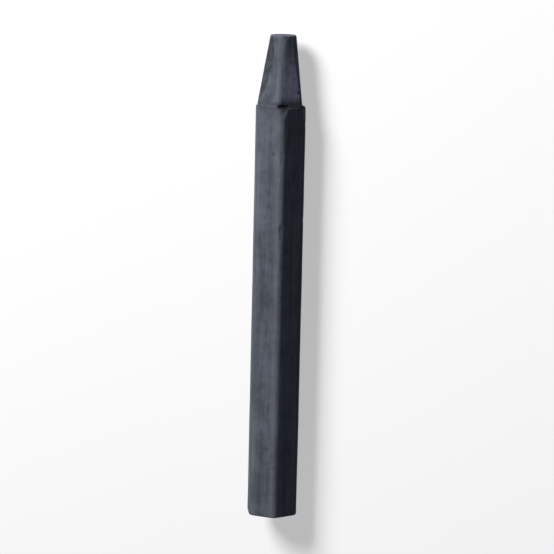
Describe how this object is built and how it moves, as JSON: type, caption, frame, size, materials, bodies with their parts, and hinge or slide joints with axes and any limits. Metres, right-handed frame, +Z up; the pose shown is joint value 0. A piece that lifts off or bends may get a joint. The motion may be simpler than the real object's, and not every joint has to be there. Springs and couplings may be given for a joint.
{
  "type": "grease chalk",
  "caption": "Solid stick of black marking wax with a hexagonal body and a blunt tapered tip, for writing on wood, metal, stone and tyres.",
  "frame": {"origin": "on the surface that the stick lies on, under the middle of its length", "axes": "+Y along the stick towards the tip, +Z up out of the facet opposite the one it lies on"},
  "size_m": [0.0132, 0.12, 0.012],
  "materials": {
    "black_wax": "satin cast wax, lightly rubbed and dusty"
  },
  "bodies": {
    "root": {"chalk_stick": "black_wax"}
  },
  "joints": []
}
